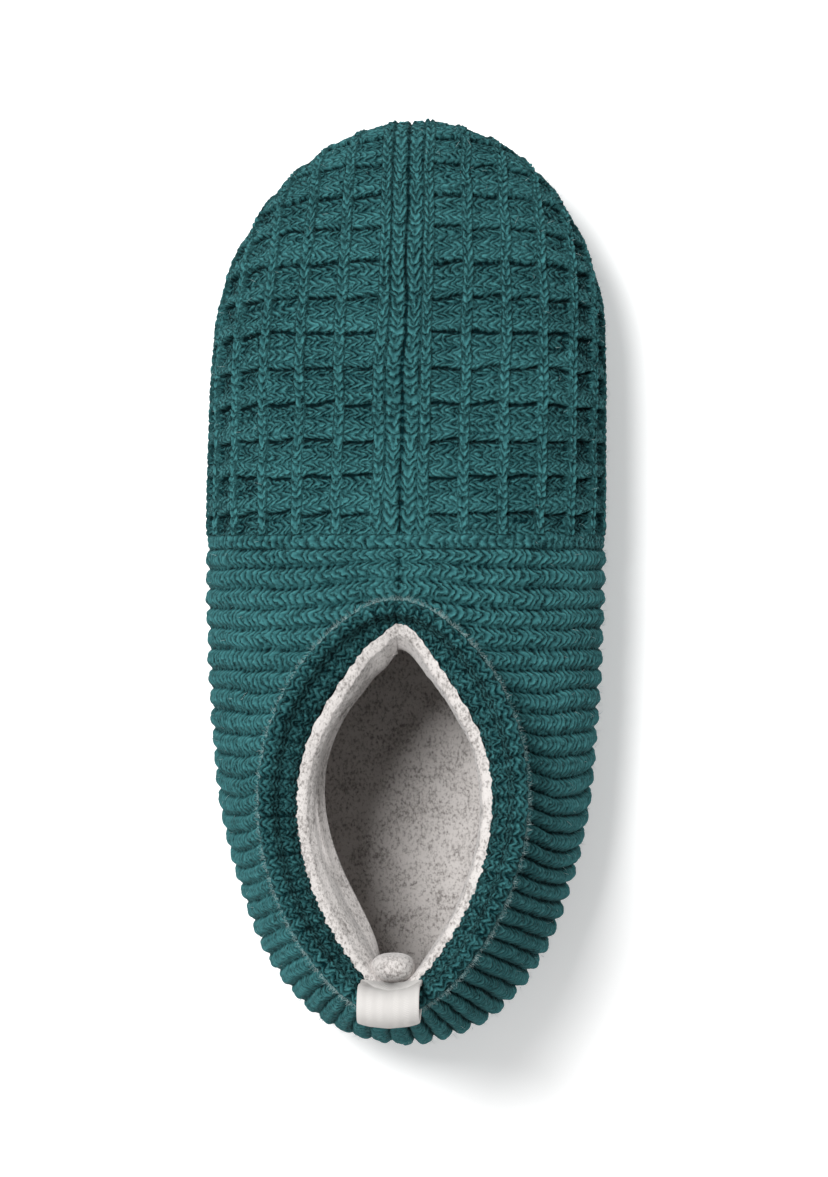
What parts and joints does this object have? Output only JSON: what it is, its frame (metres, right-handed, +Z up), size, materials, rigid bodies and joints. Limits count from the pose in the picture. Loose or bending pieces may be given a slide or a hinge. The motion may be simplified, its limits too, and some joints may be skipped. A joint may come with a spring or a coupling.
{
  "type": "knitted slipper",
  "caption": "Knitted bootie slipper for the left foot with a waffle vamp, ribbed standing collar, plain side band, grip sole, brushed lining and a tape pull loop.",
  "frame": {"origin": "on the flat underside of the sole, half way along the slipper and on its middle line", "axes": "+Y to the toe, +X to the inner side of the foot, +Z up"},
  "size_m": [0.1125, 0.2608, 0.1396],
  "materials": {
    "upper_knit": "soft matt teal wool-blend knit, waffle on the vamp and ribs behind it",
    "band_knit": "soft matt teal plain knit",
    "sole_knit": "teal plain knit set with small aubergine rubber grip dots",
    "lining": "brushed grey marl jersey",
    "tape": "off-white woven cotton tape"
  },
  "bodies": {
    "root": {"knit_upper": "upper_knit", "knit_side_band": "band_knit", "grip_sole": "sole_knit", "insole": "lining", "pull_loop": "tape"}
  },
  "joints": []
}
